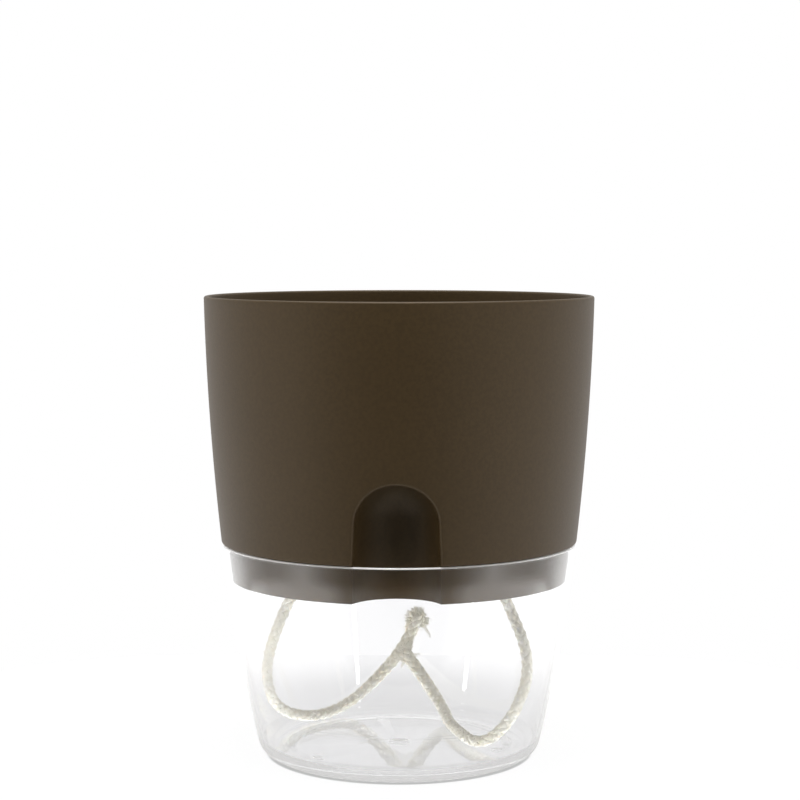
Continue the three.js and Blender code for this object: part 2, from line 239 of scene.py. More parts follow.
# Board under the pot, with distances from the pot's axis
BOARD_HALF_WIDTH = 0.2
BOARD_FRONT = -0.105
BOARD_BACK = 0.156
BOARD_CORNER = 0.12
BOARD_CORNER_STEPS = 16
BOARD_PAINT = (0.86, 0.86, 0.86, 1)
BOARD_SEEN = 0.94  # share of plain white in the board as the camera sees it
BOARD_THROUGH = 0.85  # share of a plain grey in it as it shows through the tank
BOARD_LIGHT = 0.8  # share of that grey in the painted soft light that the board glows with, as light from below
BOARD_SHADE_GREY = 0.77  # painted shade: the grey beside the tank, which lightens to white further from it
SHADE_GREY_REACH = (0.09, BOARD_BACK)
BOARD_SHADE = 0.88  # what is left of the grey in the soft shade under the tank
SHADE_REACH = (0.04, 0.046)
BOARD_CONTACT_SHADOW = 0.5  # what is left of the white in the painted shadow line under the tank's front
CONTACT_SHADOW_REACH = (0.0443, 0.0455)


# Shader nodes. A pair is a node and the name of one of its outputs.

def add_node(tree, kind, **settings):
    node = tree.nodes.new(kind)
    for name, value in settings.items():
        setattr(node, name, value)
    return node


def set_inputs(node, values):
    for name, value in values.items():
        node.inputs[name].default_value = value


def link(tree, source, output, target, input_name):
    tree.links.new(source.outputs[output], target.inputs[input_name])


def math_node(tree, operation, first, second):
    """A Math node whose inputs are numbers or pairs."""
    node = add_node(tree, "ShaderNodeMath", operation=operation)
    for socket, value in zip(node.inputs, (first, second)):
        if isinstance(value, tuple):
            tree.links.new(value[0].outputs[value[1]], socket)
        else:
            socket.default_value = value
    return node


def mapped(tree, source, output, start, end, low, high, even=False):
    """From low to high as another value goes from start to end, in a soft step or at an even rate."""
    kind = "LINEAR" if even else "SMOOTHSTEP"
    node = add_node(tree, "ShaderNodeMapRange", interpolation_type=kind)
    set_inputs(node, {"From Min": start, "From Max": end, "To Min": low, "To Max": high})
    link(tree, source, output, node, "Value")
    return node


def stepped(tree, source, output, steps):
    """A value that follows another, from -1 to 1, through given (place, value) steps."""
    share = mapped(tree, source, output, -1, 1, 0, 1, even=True)
    ramp = add_node(tree, "ShaderNodeValToRGB")
    highest = max(value for _, value in steps)
    elements = ramp.color_ramp.elements
    while len(elements) < len(steps):
        elements.new(1)
    for element, (place, value) in zip(elements, steps):
        element.position = (place + 1) / 2
        element.color = (value / highest, value / highest, value / highest, 1)
    link(tree, share, "Result", ramp, "Fac")
    return math_node(tree, "MULTIPLY", (ramp, "Color"), highest)


def faded(tree, amount, first, last):
    """A value that goes from one pair's to a number, by the amount that another pair gives."""
    node = add_node(tree, "ShaderNodeMix", data_type="FLOAT")
    node.inputs["B"].default_value = last
    link(tree, *amount, node, "Factor")
    link(tree, *first, node, "A")
    return node


def mixed_shader(tree, amount, first, last):
    """Two pairs' shaders mixed by the amount that a third gives."""
    node = add_node(tree, "ShaderNodeMixShader")
    for place, pair in enumerate((amount, first, last)):
        link(tree, *pair, node, place)
    return node


def split_place(tree, output):
    """The x, y and z of one kind of texture coordinates."""
    place = add_node(tree, "ShaderNodeTexCoord")
    parts = add_node(tree, "ShaderNodeSeparateXYZ")
    link(tree, place, output, parts, 0)
    return parts


# Camera and light

def add_camera():
    """A long lens a little above the lip and to the right, tilted down to the middle of the pot."""
    lens = bpy.data.cameras.new("camera")
    lens.lens = LENS_LENGTH
    lens.sensor_width = SENSOR_WIDTH
    camera = bpy.data.objects.new("camera", lens)
    camera.location = CAMERA_PLACE
    camera.rotation_euler = (math.radians(90 - CAMERA_TILT), 0, math.radians(CAMERA_TURN))
    bpy.context.scene.collection.objects.link(camera)
    bpy.context.scene.camera = camera


def add_world():
    """White all round, darker on the camera's side, where a studio is dark, over a brightly lit table.

    The camera sees plain white, and the same white straight through the tank from the front and back.
    """
    world = bpy.data.worlds.new("studio")
    world.use_nodes = True
    bpy.context.scene.world = world
    tree = world.node_tree
    background = tree.nodes["Background"]
    background.inputs["Color"].default_value = (1, 1, 1, 1)
    parts = split_place(tree, "Generated")
    front = mapped(tree, parts, "Y", *FRONT_TO_SIDE, WORLD_FRONT, WORLD_SIDE)
    back = mapped(tree, parts, "Y", *SIDE_TO_BACK, 0, WORLD_BACK - WORLD_SIDE)
    around = math_node(tree, "ADD", (front, "Result"), (back, "Result"))
    far = stepped(tree, parts, "Y", TABLE_FAR)
    near = stepped(tree, parts, "Y", TABLE_NEAR)
    edge = mapped(tree, parts, "Y", *TABLE_EDGE_Y, *TABLE_EDGE_Z, even=True)
    inside = math_node(tree, "SUBTRACT", (edge, "Result"), TABLE_EDGE_BLUR)
    table = mapped(tree, parts, "Z", 0, 0, 0, 0)
    link(tree, edge, "Result", table, "From Min")
    link(tree, inside, "Value", table, "From Max")
    link(tree, far, "Value", table, "To Min")
    link(tree, near, "Value", table, "To Max")
    below = mapped(tree, parts, "Z", *ROOM_TO_TABLE, 0, 0)
    link(tree, around, "Value", below, "To Min")
    link(tree, table, "Result", below, "To Max")
    shade = mapped(tree, parts, "Z", *TABLE_TO_SHADE, 1, TABLE_SHADE)
    light = math_node(tree, "MULTIPLY", (below, "Result"), (shade, "Result"))
    path = add_node(tree, "ShaderNodeLightPath")
    from_front = mapped(tree, parts, "Y", *SEEN_FROM_FRONT, 0, 1)
    frontward = mapped(tree, parts, "Y", *SEEN_FROM_BACK, 0, 1)
    others = math_node(tree, "SUBTRACT", (path, "Ray Depth"), (path, "Transmission Depth"))
    unmirrored = math_node(tree, "LESS_THAN", (others, "Value"), UNMIRRORED_STEPS)
    from_back = math_node(tree, "MULTIPLY", (unmirrored, "Value"), (frontward, "Result"))
    white = math_node(tree, "MAXIMUM", (from_front, "Result"), (from_back, "Value"))
    behind = math_node(tree, "MULTIPLY", (path, "Is Transmission Ray"), (white, "Value"))
    through = faded(tree, (behind, "Value"), (light, "Value"), SEEN_THROUGH_TANK)
    seen = faded(tree, (path, "Is Camera Ray"), (through, "Result"), SEEN_WHITE)
    link(tree, seen, "Result", background, "Strength")


def add_lamp(name, place, aim, size, power, mirrored=True, spread=180, colour=(1, 1, 1)):
    """A rectangular lamp. One that isn't mirrored leaves no glint on the plastic."""
    data = bpy.data.lights.new(name, "AREA")
    data.shape = "RECTANGLE"
    data.size, data.size_y = size
    data.energy = power
    data.color = colour
    data.spread = math.radians(spread)
    lamp = bpy.data.objects.new(name, data)
    lamp.location = place
    lamp.rotation_euler = (Vector(aim) - Vector(place)).to_track_quat("-Z", "Y").to_euler()
    lamp.visible_glossy = mirrored
    lamp.visible_transmission = mirrored
    bpy.context.scene.collection.objects.link(lamp)


def add_lamps():
    """A soft box over the pot, strips and soft fills around it, and a low narrow beam on the wick."""
    middle = (0, 0, 0.08)
    add_lamp("top_softbox", place=(0, -0.1, 1.1), aim=middle, size=(0.9, 0.7), power=11)
    for name, place in (("strip_left", (-0.88, -0.57, 0.2)), ("strip_right", (0.62, -0.85, 0.2))):
        add_lamp(name, place, aim=middle, size=(0.05, 0.15), power=0.4)
    for name, x, power in (("fill_left", -0.92, 2.6), ("fill_right", 0.92, 1.8)):
        add_lamp(
            name, place=(x, -0.4, 0.27), aim=(0, 0, 0.03), size=(0.5, 0.3), power=power,
            mirrored=False, colour=(1, 0.92, 0.82),
        )
    add_lamp(
        "fill_front", place=(0, -0.13, 0.28), aim=(0, -0.06, 0.14), size=(0.35, 0.06), power=0.2,
        mirrored=False,
    )
    add_lamp(
        "wick_beam", place=(0, -0.62, 0.024), aim=(0, 0, 0.024), size=(0.3, 0.02), power=0.26,
        mirrored=False, spread=9,
    )


def add_board():
    """The white board that the pot stands on. The camera sees it as white, with the pot's faint shadow and a
    painted thin shadow line under the tank's front. Through the tank it shows a grey with painted shade near
    and under the tank, and soft light sees that grey glow, as painted light from below.
    """
    bpy.ops.object.select_all(action="DESELECT")
    bpy.ops.mesh.primitive_plane_add(size=2)
    board = bpy.context.object
    board.name = "board"
    bpy.ops.object.mode_set(mode="EDIT")
    bpy.ops.mesh.select_all(action="SELECT")
    bpy.ops.transform.resize(value=(BOARD_HALF_WIDTH, (BOARD_BACK - BOARD_FRONT) / 2, 1))
    bpy.ops.transform.translate(value=(0, (BOARD_BACK + BOARD_FRONT) / 2, 0))
    bpy.ops.mesh.bevel(offset=BOARD_CORNER, segments=BOARD_CORNER_STEPS, affect="VERTICES")
    bpy.ops.object.mode_set(mode="OBJECT")
    material = bpy.data.materials.new("white_board")
    material.use_nodes = True
    tree = material.node_tree
    tree.nodes.remove(tree.nodes["Principled BSDF"])
    paint = add_node(tree, "ShaderNodeBsdfDiffuse")
    paint.inputs["Color"].default_value = BOARD_PAINT
    place = add_node(tree, "ShaderNodeTexCoord")
    reach = add_node(tree, "ShaderNodeVectorMath", operation="LENGTH")
    link(tree, place, "Object", reach, 0)
    path = add_node(tree, "ShaderNodeLightPath")
    # painted contact shadow: a thin dark ring where the tank's foot meets the board, seen by the camera only
    contact_shadow = mapped(tree, reach, "Value", *CONTACT_SHADOW_REACH, BOARD_CONTACT_SHADOW, 1)
    straight = math_node(tree, "MULTIPLY", (path, "Is Camera Ray"), (contact_shadow, "Result"))
    other = math_node(tree, "SUBTRACT", 1, (path, "Is Camera Ray"))
    # painted shade on the board's grey: darker towards the tank, and darker still under it
    grey = mapped(tree, reach, "Value", *SHADE_GREY_REACH, BOARD_SHADE_GREY, 1)
    under = mapped(tree, reach, "Value", *SHADE_REACH, BOARD_SHADE, 1)
    shaded = math_node(tree, "MULTIPLY", (grey, "Result"), (under, "Result"))
    veiled = math_node(tree, "MULTIPLY", (other, "Value"), (shaded, "Value"))
    tone = math_node(tree, "ADD", (straight, "Value"), (veiled, "Value"))
    glow = add_node(tree, "ShaderNodeEmission")
    link(tree, tone, "Value", glow, "Strength")
    seen = math_node(tree, "MULTIPLY", (path, "Is Camera Ray"), BOARD_SEEN)
    through = math_node(tree, "MULTIPLY", (path, "Is Transmission Ray"), BOARD_THROUGH)
    direct = math_node(tree, "MAXIMUM", (seen, "Value"), (through, "Value"))
    # painted light: for soft light the board glows with its grey, though it is no lamp
    upward_glow = math_node(tree, "MULTIPLY", (path, "Is Diffuse Ray"), BOARD_LIGHT)
    share = math_node(tree, "MAXIMUM", (direct, "Value"), (upward_glow, "Value"))
    mix = mixed_shader(tree, (share, "Value"), (paint, "BSDF"), (glow, "Emission"))
    link(tree, mix, "Shader", tree.nodes["Material Output"], "Surface")
    board.data.materials.append(material)


# Shapes shared by the pieces

def tank_side(z):
    """Outside radius of the tank at a height above the ground."""
    t = z / TANK_HEIGHT
    return TANK_RIM_RADIUS - TANK_TAPER * (1 - t) + 4 * TANK_SIDE_SWELL * t * (1 - t)


def tank_inner(z):
    return tank_side(z) - TANK_WALL


def pot_side(z):
    """Outside radius of the pot above its shoulder."""
    t = (z - SHOULDER_Z) / POT_HEIGHT
    return SHOULDER_RADIUS + POT_FLARE * t + 4 * POT_SIDE_SWELL * t * (1 - t)


def pot_inner(z):
    return pot_side(z) - POT_WALL


def spigot_side(z):
    """Outside radius of the spigot, which runs inside the tank's side."""
    return tank_inner(z) - SPIGOT_GAP


def spigot_inner(z):
    return spigot_side(z) - POT_WALL


def along(side, start, end, steps=SIDE_STEPS):
    """Corners of a side from one height to another, both included."""
    heights = [start + (end - start) * i / steps for i in range(steps + 1)]
    return [(side(z), z) for z in heights]


def rounded(corners, steps=ROUND_STEPS):
    """A profile through (radius, height) corners. One with a third value is rounded by that radius."""
    line = []
    for i, corner in enumerate(corners):
        here = Vector(corner[:2])
        if len(corner) == 2:
            line.append(here)
            continue
        before = (Vector(corners[i - 1][:2]) - here).normalized()
        after = (Vector(corners[i + 1][:2]) - here).normalized()
        half = before.angle(after) / 2
        centre = here + (before + after).normalized() * corner[2] / math.sin(half)
        first = here + before * corner[2] / math.tan(half) - centre
        last = here + after * corner[2] / math.tan(half) - centre
        turn = first.angle_signed(last)
        for k in range(steps + 1):
            angle = -turn * k / steps
            line.append(centre + Vector((
                first.x * math.cos(angle) - first.y * math.sin(angle),
                first.x * math.sin(angle) + first.y * math.cos(angle),
            )))
    return line


def select_only(piece):
    """Selects one piece and makes it the active one."""
    bpy.ops.object.select_all(action="DESELECT")
    piece.select_set(True)
    bpy.context.view_layer.objects.active = piece


def turned(name, profile, steps=TURN_STEPS):
    """A profile drawn by extruding one corner along it, then spun about +Z into a closed solid."""
    bpy.ops.object.select_all(action="DESELECT")
    bpy.ops.mesh.primitive_circle_add(vertices=3, radius=MM)
    piece = bpy.context.object
    piece.name = name
    bpy.ops.object.mode_set(mode="EDIT")
    bpy.ops.mesh.select_all(action="SELECT")
    bpy.ops.mesh.merge(type="CENTER")
    bpy.ops.transform.translate(value=(profile[0].x, 0, profile[0].y))
    for before, after in zip(profile, profile[1:]):
        step = after - before
        bpy.ops.mesh.extrude_vertices_move(TRANSFORM_OT_translate={"value": (step.x, 0, step.y)})
    bpy.ops.mesh.select_all(action="SELECT")
    bpy.ops.mesh.spin(steps=steps, angle=2 * math.pi, center=(0, 0, 0), axis=(0, 0, 1))
    bpy.ops.mesh.select_all(action="SELECT")
    bpy.ops.mesh.remove_doubles(threshold=WELD_DISTANCE)
    bpy.ops.mesh.normals_make_consistent(inside=False)
    bpy.ops.object.mode_set(mode="OBJECT")
    return piece


def moved(piece, offset):
    """The piece with its mesh moved, and its object still at the origin."""
    select_only(piece)
    bpy.ops.object.mode_set(mode="EDIT")
    bpy.ops.mesh.select_all(action="SELECT")
    bpy.ops.transform.translate(value=offset)
    bpy.ops.object.mode_set(mode="OBJECT")
    return piece


def combine(piece, tool, operation):
    """Joins, cuts or keeps the shared part of two closed solids, and removes the tool."""
    select_only(piece)
    bpy.ops.object.modifier_add(type="BOOLEAN")
    modifier = piece.modifiers[-1]
    modifier.object = tool
    modifier.operation = operation
    modifier.solver = "MANIFOLD"
    bpy.ops.object.modifier_apply(modifier=modifier.name)
    bpy.data.objects.remove(tool)
    return piece


def smooth(piece, degrees):
    """Shades each edge smooth that turns by no more than this."""
    select_only(piece)
    bpy.ops.object.shade_smooth_by_angle(angle=math.radians(degrees))


# Planter pot

def niche_radius(z):
    """Radius of the niche's own round body at a height."""
    if z <= NICHE_SPRING_Z:
        return NICHE_RADIUS + (NICHE_SPRING_Z - z) * math.tan(NICHE_DRAFT)
    return math.sqrt(max(0, NICHE_RADIUS ** 2 - (z - NICHE_SPRING_Z) ** 2))


def niche_body(name, low, grown):
    """The niche's round body with its domed head, larger all round by grown."""
    radius = NICHE_RADIUS + grown
    foot = radius + (NICHE_SPRING_Z - low) * math.tan(NICHE_DRAFT)
    dome_steps = 3 * ROUND_STEPS
    dome = [
        Vector((radius * math.cos(a), NICHE_SPRING_Z + radius * math.sin(a)))
        for a in (math.pi / 2 * i / dome_steps for i in range(dome_steps))
    ]
    top = Vector((0, NICHE_SPRING_Z + radius))
    profile = [Vector((0, low)), Vector((foot, low)), *dome, top]
    return moved(turned(name, profile, NICHE_STEPS), (0, -NICHE_REACH, 0))


def arch_top():
    """Height at which the niche's dome meets the pot's outside."""
    low, high = NICHE_SPRING_Z, NICHE_SPRING_Z + NICHE_RADIUS
    for _ in range(ARCH_HALVINGS):
        middle = (low + high) / 2
        if niche_radius(middle) > abs(pot_side(middle) - NICHE_REACH):
            low = middle
        else:
            high = middle
    return low


def arch_line(low):
    """Points of the niche's edge on the pot's outside, from one foot over the top to the other."""
    top = arch_top()
    half = []
    for i in range(ARCH_STEPS + 1):
        z = low + (top - low) * math.sin(math.pi / 2 * i / ARCH_STEPS)
        wall = pot_side(z)
        y = (niche_radius(z) ** 2 - wall ** 2 - NICHE_REACH ** 2) / (2 * NICHE_REACH)
        half.append(Vector((math.sqrt(max(0, wall ** 2 - y ** 2)), y, z)))
    return half + [Vector((-p.x, p.y, p.z)) for p in reversed(half[:-1])]


def arch_section(point):
    """The outline, across the niche's edge, of what rounding that edge takes away."""
    rise = (pot_side(point.z + MM) - pot_side(point.z - MM)) / (2 * MM)
    wall = Vector((point.x, point.y, 0)).normalized()
    wall = (wall - Vector((0, 0, rise))).normalized()
    niche = Vector((point.x, point.y + NICHE_REACH, 0)).normalized()
    if point.z > NICHE_SPRING_Z:
        niche = Vector((point.x, point.y + NICHE_REACH, point.z - NICHE_SPRING_Z)).normalized()
    on_wall = niche - wall * niche.dot(wall)
    on_niche = niche * wall.dot(niche) - wall
    on_wall.normalize()
    on_niche.normalize()
    half = on_wall.angle(on_niche) / 2
    reach = NICHE_EDGE_ROUND / math.tan(half)
    centre = point + (on_wall + on_niche).normalized() * NICHE_EDGE_ROUND / math.sin(half)
    start = (point + on_wall * reach - centre).normalized()
    end = (point + on_niche * reach - centre).normalized()
    outline = []
    for i in range(ROUND_STEPS + 1):
        outline.append(centre + NICHE_EDGE_ROUND * start.slerp(end, i / ROUND_STEPS))
    clear = 0.5 * MM
    outline.append(point + on_niche * reach - niche * clear)
    outline.append(point + (wall - niche) * clear)
    outline.append(point + on_wall * reach + wall * clear)
    return outline


def arch_cutter():
    """A long curved bar that rounds the niche's edge when it is cut away."""
    clear = 2 * MM
    rings = [arch_section(point) for point in arch_line(SHOULDER_Z - clear)]
    sides = len(rings[0])
    corners = [corner for ring in rings for corner in ring]
    faces = [tuple(range(sides)), tuple(range(len(corners) - sides, len(corners)))]
    for i in range(len(rings) - 1):
        for j in range(sides):
            a, b = i * sides + j, i * sides + (j + 1) % sides
            faces.append((a, b, b + sides, a + sides))
    mesh = bpy.data.meshes.new("arch_cutter")
    mesh.from_pydata(corners, [], faces)
    cutter = bpy.data.objects.new("arch_cutter", mesh)
    bpy.context.scene.collection.objects.link(cutter)
    select_only(cutter)
    bpy.ops.object.mode_set(mode="EDIT")
    bpy.ops.mesh.select_all(action="SELECT")
    bpy.ops.mesh.normals_make_consistent(inside=False)
    bpy.ops.object.mode_set(mode="OBJECT")
    return cutter


def pot_blank(inset):
    """The pot's outer skin drawn in by inset, filled solid."""
    profile = [
        (0, SPIGOT_Z + inset),
        *along(lambda z: spigot_side(z) - inset, SPIGOT_Z + inset, SHOULDER_Z + inset),
        *along(lambda z: pot_side(z) - inset, SHOULDER_Z + inset, LIP_Z),
        (0, LIP_Z),
    ]
    return turned("pot_blank", rounded(profile))


def wick_hole(x):
    """A round bar that cuts a hole for the wick through the pot's floor."""
    reach = 4 * MM
    profile = rounded([
        (0, SPIGOT_Z - reach),
        (WICK_HOLE_RADIUS, SPIGOT_Z - reach),
        (WICK_HOLE_RADIUS, POT_FLOOR_Z + reach),
        (0, POT_FLOOR_Z + reach),
    ])
    return moved(turned("wick_hole", profile, NICHE_STEPS // 2), (x, 0, 0))


def make_pot():
    """The planter: a turned shell, the niche with walls of its own, and two holes for the wick."""
    ledge_z = SHOULDER_Z + POT_WALL
    clear = 2 * MM
    profile = rounded([
        (0, SPIGOT_Z),
        (spigot_side(SPIGOT_Z), SPIGOT_Z, SPIGOT_EDGE_ROUND),
        *along(spigot_side, SPIGOT_Z + clear, SHOULDER_Z - clear),
        (spigot_side(SHOULDER_Z), SHOULDER_Z, SHOULDER_ROUND),
        (pot_side(SHOULDER_Z), SHOULDER_Z, SHOULDER_ROUND),
        *along(pot_side, SHOULDER_Z + clear, LIP_Z - clear),
        (pot_side(LIP_Z), LIP_Z, LIP_ROUND),
        (pot_inner(LIP_Z), LIP_Z, LIP_ROUND),
        *along(pot_inner, LIP_Z - clear, ledge_z + clear),
        (pot_inner(ledge_z), ledge_z, POT_LEDGE_ROUND),
        (spigot_inner(SHOULDER_Z), SHOULDER_Z, POT_LEDGE_ROUND),
        *along(spigot_inner, SHOULDER_Z - clear, POT_FLOOR_Z + 2 * POT_FLOOR_FILLET),
        (spigot_inner(POT_FLOOR_Z), POT_FLOOR_Z, POT_FLOOR_FILLET),
        (0, POT_FLOOR_Z),
    ])
    pot = turned("pot_body", profile)
    below = SPIGOT_Z - POT_FLOOR
    channel = niche_body("channel_wall", SPIGOT_Z + POT_FLOOR / 2, NICHE_WALL)
    combine(channel, pot_blank(POT_WALL / 2), "INTERSECT")
    combine(pot, channel, "UNION")
    combine(pot, niche_body("niche", below, 0), "DIFFERENCE")
    combine(pot, arch_cutter(), "DIFFERENCE")
    for x in (-WICK_HOLE_X, WICK_HOLE_X):
        combine(pot, wick_hole(x), "DIFFERENCE")
    smooth(pot, POT_SMOOTHING)
    return pot


# Water tank

def moulding_mark(name, radius, height, x, y):
    """A small domed pad or gate mark under the floor."""
    base = STAND_RING_HEIGHT
    high = base + TANK_FLOOR / 2
    dome = []
    for i in range(ROUND_STEPS + 1):
        t = i / ROUND_STEPS
        dome.append(Vector((radius * t, base - height * (1 - t * t))))
    profile = [*dome, Vector((radius, high)), Vector((0, high))]
    return moved(turned(name, profile, NICHE_STEPS // 2), (x, y, 0))


def sink_mark(radius, x, y):
    """The shallow dish in the floor's top that is left over a pad or the gate."""
    profile = []
    for i in range(ROUND_STEPS + 3):
        t = i / ROUND_STEPS
        profile.append(Vector((radius * t, TANK_FLOOR_Z - SINK_DEPTH * radius * (1 - t * t))))
    profile.append(Vector((0, profile[-1].y)))
    return moved(turned("sink_mark", profile, NICHE_STEPS // 2), (x, y, 0))


def make_tank():
    """The clear tank, with the gate mark and three pads under its floor."""
    foot = tank_side(0)
    lean = math.atan2(tank_side(TANK_FOOT_FILLET) - foot, TANK_FOOT_FILLET)
    ring_outer = tank_side(TANK_FOOT_FILLET) - TANK_FOOT_FILLET / math.cos(lean)
    ring_inner = ring_outer - STAND_RING_WIDTH
    clear = 1.2 * MM
    profile = rounded([
        (0, STAND_RING_HEIGHT),
        (ring_inner - STAND_RING_SLOPE, STAND_RING_HEIGHT, STAND_RING_ROUND),
        (ring_inner, 0, STAND_RING_ROUND),
        (foot, 0, TANK_FOOT_FILLET),
        *along(tank_side, 1.5 * TANK_FOOT_FILLET, TANK_HEIGHT - clear),
        (tank_side(TANK_HEIGHT), TANK_HEIGHT, TANK_RIM_ROUND),
        (tank_inner(TANK_HEIGHT), TANK_HEIGHT, TANK_RIM_ROUND),
        *along(tank_inner, TANK_HEIGHT - clear, TANK_FLOOR_Z + 1.5 * TANK_CORNER_FILLET),
        (tank_inner(TANK_FLOOR_Z), TANK_FLOOR_Z, TANK_CORNER_FILLET),
        (0, TANK_FLOOR_Z),
    ], 2 * ROUND_STEPS)
    tank = turned("tank_body", profile)
    reach = ring_inner - PAD_INSET
    marks = [("gate", GATE_RADIUS, GATE_HEIGHT, 0, 0)]
    for i in range(PAD_COUNT):
        angle = math.radians(PAD_TURN + 360 * i / PAD_COUNT)
        marks.append(("pad", PAD_RADIUS, PAD_HEIGHT, reach * math.cos(angle), reach * math.sin(angle)))
    for name, radius, height, x, y in marks:
        combine(tank, moulding_mark(name, radius, height, x, y), "UNION")
        combine(tank, sink_mark(radius, x, y), "DIFFERENCE")
    smooth(tank, TANK_SMOOTHING)
    return tank


# Cotton wick

def smooth_line(points, spacing=RING_SPACING):
    """The smooth line through given points, as points an even distance apart."""
    ends = [2 * points[0] - points[1], *points, 2 * points[-1] - points[-2]]
    dense = [points[0]]
    for p0, p1, p2, p3 in zip(ends, ends[1:], ends[2:], ends[3:]):
        t1 = (p1 - p0).length ** 0.5
        t2 = t1 + (p2 - p1).length ** 0.5
        t3 = t2 + (p3 - p2).length ** 0.5
        for k in range(1, ROUTE_STEPS + 1):
            t = t1 + (t2 - t1) * k / ROUTE_STEPS
            a1 = p0.lerp(p1, t / t1)
            a2 = p1.lerp(p2, (t - t1) / (t2 - t1))
            a3 = p2.lerp(p3, (t - t2) / (t3 - t2))
            b1 = a1.lerp(a2, t / t2)
            b2 = a2.lerp(a3, (t - t1) / (t3 - t1))
            dense.append(b1.lerp(b2, (t - t1) / (t2 - t1)))
    reach = [0]
    for before, after in zip(dense, dense[1:]):
        reach.append(reach[-1] + (after - before).length)
    count = max(2, round(reach[-1] / spacing))
    line, k = [], 0
    for i in range(count + 1):
        wanted = reach[-1] * i / count
        while k < len(dense) - 2 and reach[k + 1] < wanted:
            k += 1
        share = (wanted - reach[k]) / (reach[k + 1] - reach[k])
        line.append(dense[k].lerp(dense[k + 1], min(1, share)))
    return line


def carried_frames(line):
    """At each point of a line, two directions across it that don't twist along the way."""
    directions = []
    for i in range(len(line)):
        directions.append((line[min(i + 1, len(line) - 1)] - line[max(i - 1, 0)]).normalized())
    across = directions[0].orthogonal().normalized()
    frames = []
    for i, direction in enumerate(directions):
        if i > 0:
            across = directions[i - 1].rotation_difference(direction) @ across
        across = (across - direction * across.dot(direction)).normalized()
        frames.append((across, direction.cross(across)))
    return frames


def turns(count):
    """Evenly spaced angles once round."""
    return [2 * math.pi * i / count for i in range(count)]


class Threads:
    """Gathers tubes, with a map of how far round and how far along each one a corner lies."""

    def __init__(self):
        self.corners, self.faces, self.places = [], [], []

    def tube(self, rings, spacing):
        """A closed tube through rings of corners."""
        first, sides = len(self.corners), len(rings[0])
        for ring in rings:
            self.corners.extend(ring)
        for i in range(len(rings) - 1):
            for j in range(sides):
                a = first + i * sides + j
                b = first + i * sides + (j + 1) % sides
                self.faces.append((a, b, b + sides, a + sides))
                self.places.append((
                    (j / sides, i * spacing), ((j + 1) / sides, i * spacing),
                    ((j + 1) / sides, (i + 1) * spacing), (j / sides, (i + 1) * spacing),
                ))
        last = first + (len(rings) - 1) * sides
        for cap in (range(first + sides - 1, first - 1, -1), range(last, last + sides)):
            self.faces.append(tuple(cap))
            self.places.append(tuple((0, 0) for _ in cap))

    def fibre(self, line, radius, taper=FIBRE_TAPER):
        """A loose yarn or fibre. It loses this share of its thickness towards its end."""
        sides = FIBRE_SIDES if radius <= FIBRE_RADIUS else YARN_SIDES
        rings = []
        for i, (point, (u, v)) in enumerate(zip(line, carried_frames(line))):
            thin = radius * (1 - taper * i / (len(line) - 1))
            rings.append([point + thin * (math.cos(a) * u + math.sin(a) * v) for a in turns(sides)])
        self.tube(rings, (line[1] - line[0]).length)

    def piece(self, name):
        mesh = bpy.data.meshes.new(name)
        mesh.from_pydata(self.corners, [], self.faces)
        layer = mesh.uv_layers.new(name="threads")
        flat = [value for face in self.places for place in face for value in place]
        layer.data.foreach_set("uv", flat)
        mesh.shade_smooth()
        piece = bpy.data.objects.new(name, mesh)
        bpy.context.scene.collection.objects.link(piece)
        return piece


def lay_rope(threads, line, chance, loose_end=False):
    """Strands plaited round a core along the line. A loose end swells and then comes apart."""
    frames = carried_frames(line)
    spacing = (line[1] - line[0]).length
    length = spacing * (len(line) - 1)
    swell = [1] * len(line)
    if loose_end:
        for i in range(len(line)):
            left = length - i * spacing
            swell[i] += LOOSE_SWELL * min(1, max(0, (LOOSE_LENGTH - left) / (LOOSE_RUN * LOOSE_LENGTH)))
    threads.tube([
        [point + fat * CORE_RADIUS * (math.cos(a) * u + math.sin(a) * v) for a in turns(STRAND_SIDES)]
        for point, (u, v), fat in zip(line, frames, swell)
    ], spacing)
    for strand in range(2 * STRAND_PAIRS):
        way = 1 if strand % 2 == 0 else -1
        phases = [chance.uniform(0, 2 * math.pi) for _ in range(3)]
        rings = []
        for i, (point, (u, v)) in enumerate(zip(line, frames)):
            s = i * spacing
            opened = 0
            if loose_end:
                opened = max(0, 1 - (length - s) / OPEN_LENGTH)
            turn = 2 * math.pi * (way * s / PLAIT_LENGTH + (strand // 2) / STRAND_PAIRS)
            out = math.cos(turn) * u + math.sin(turn) * v
            side = -math.sin(turn) * u + math.cos(turn) * v
            weave = way * math.cos(2 * math.pi * STRAND_PAIRS * s / PLAIT_LENGTH)
            reach = swell[i] * (STRAND_REACH + STRAND_WEAVE * weave) + OPEN_REACH * opened * opened
            slant = math.atan(2 * math.pi * reach / PLAIT_LENGTH)
            across = math.cos(slant) * side - way * math.sin(slant) * u.cross(v)
            waves = (share * math.sin(s / run + p) for (share, run), p in zip(STRAND_WAVES, phases))
            uneven = swell[i] * sum(waves, 1)
            ring = []
            for a in turns(STRAND_SIDES):
                bulge = uneven + YARN_DEPTH * math.cos(YARNS_IN_STRAND * a - s / YARN_TWIST + phases[2])
                across_it = STRAND_WIDTH * bulge * math.sin(a)
                through_it = STRAND_THICKNESS * bulge * math.cos(a)
                ring.append(point + (reach + through_it) * out + across_it * across)
            rings.append(ring)
        threads.tube(rings, spacing)


